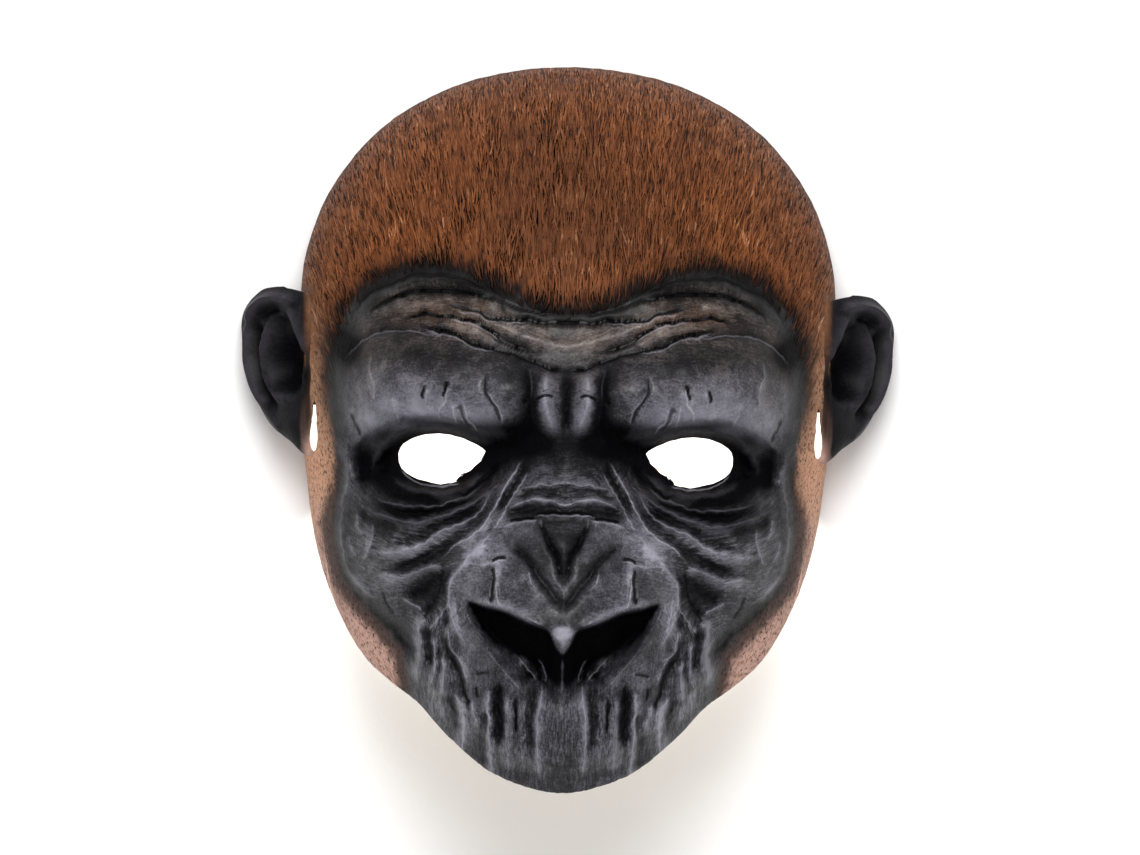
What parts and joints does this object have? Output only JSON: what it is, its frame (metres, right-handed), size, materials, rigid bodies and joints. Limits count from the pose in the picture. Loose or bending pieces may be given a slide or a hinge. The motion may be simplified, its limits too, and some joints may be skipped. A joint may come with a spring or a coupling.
{
  "type": "gorilla mask",
  "caption": "Moulded latex gorilla mask for the front of the head, with sculpted hair, brow, wrinkles and nostrils, ears, cut eye holes and strap slots.",
  "frame": {"origin": "middle of the mask's box, on the floor that its rim rests on", "axes": "+Z out of the face, +Y from chin to crown, +X towards the viewer's right; the mask lies face up on its rim"},
  "size_m": [0.2168, 0.24, 0.1287],
  "materials": {
    "latex": "satin painted latex, dark grey face and orange-brown hair"
  },
  "bodies": {
    "root": {"mask_shell": "latex"}
  },
  "joints": []
}
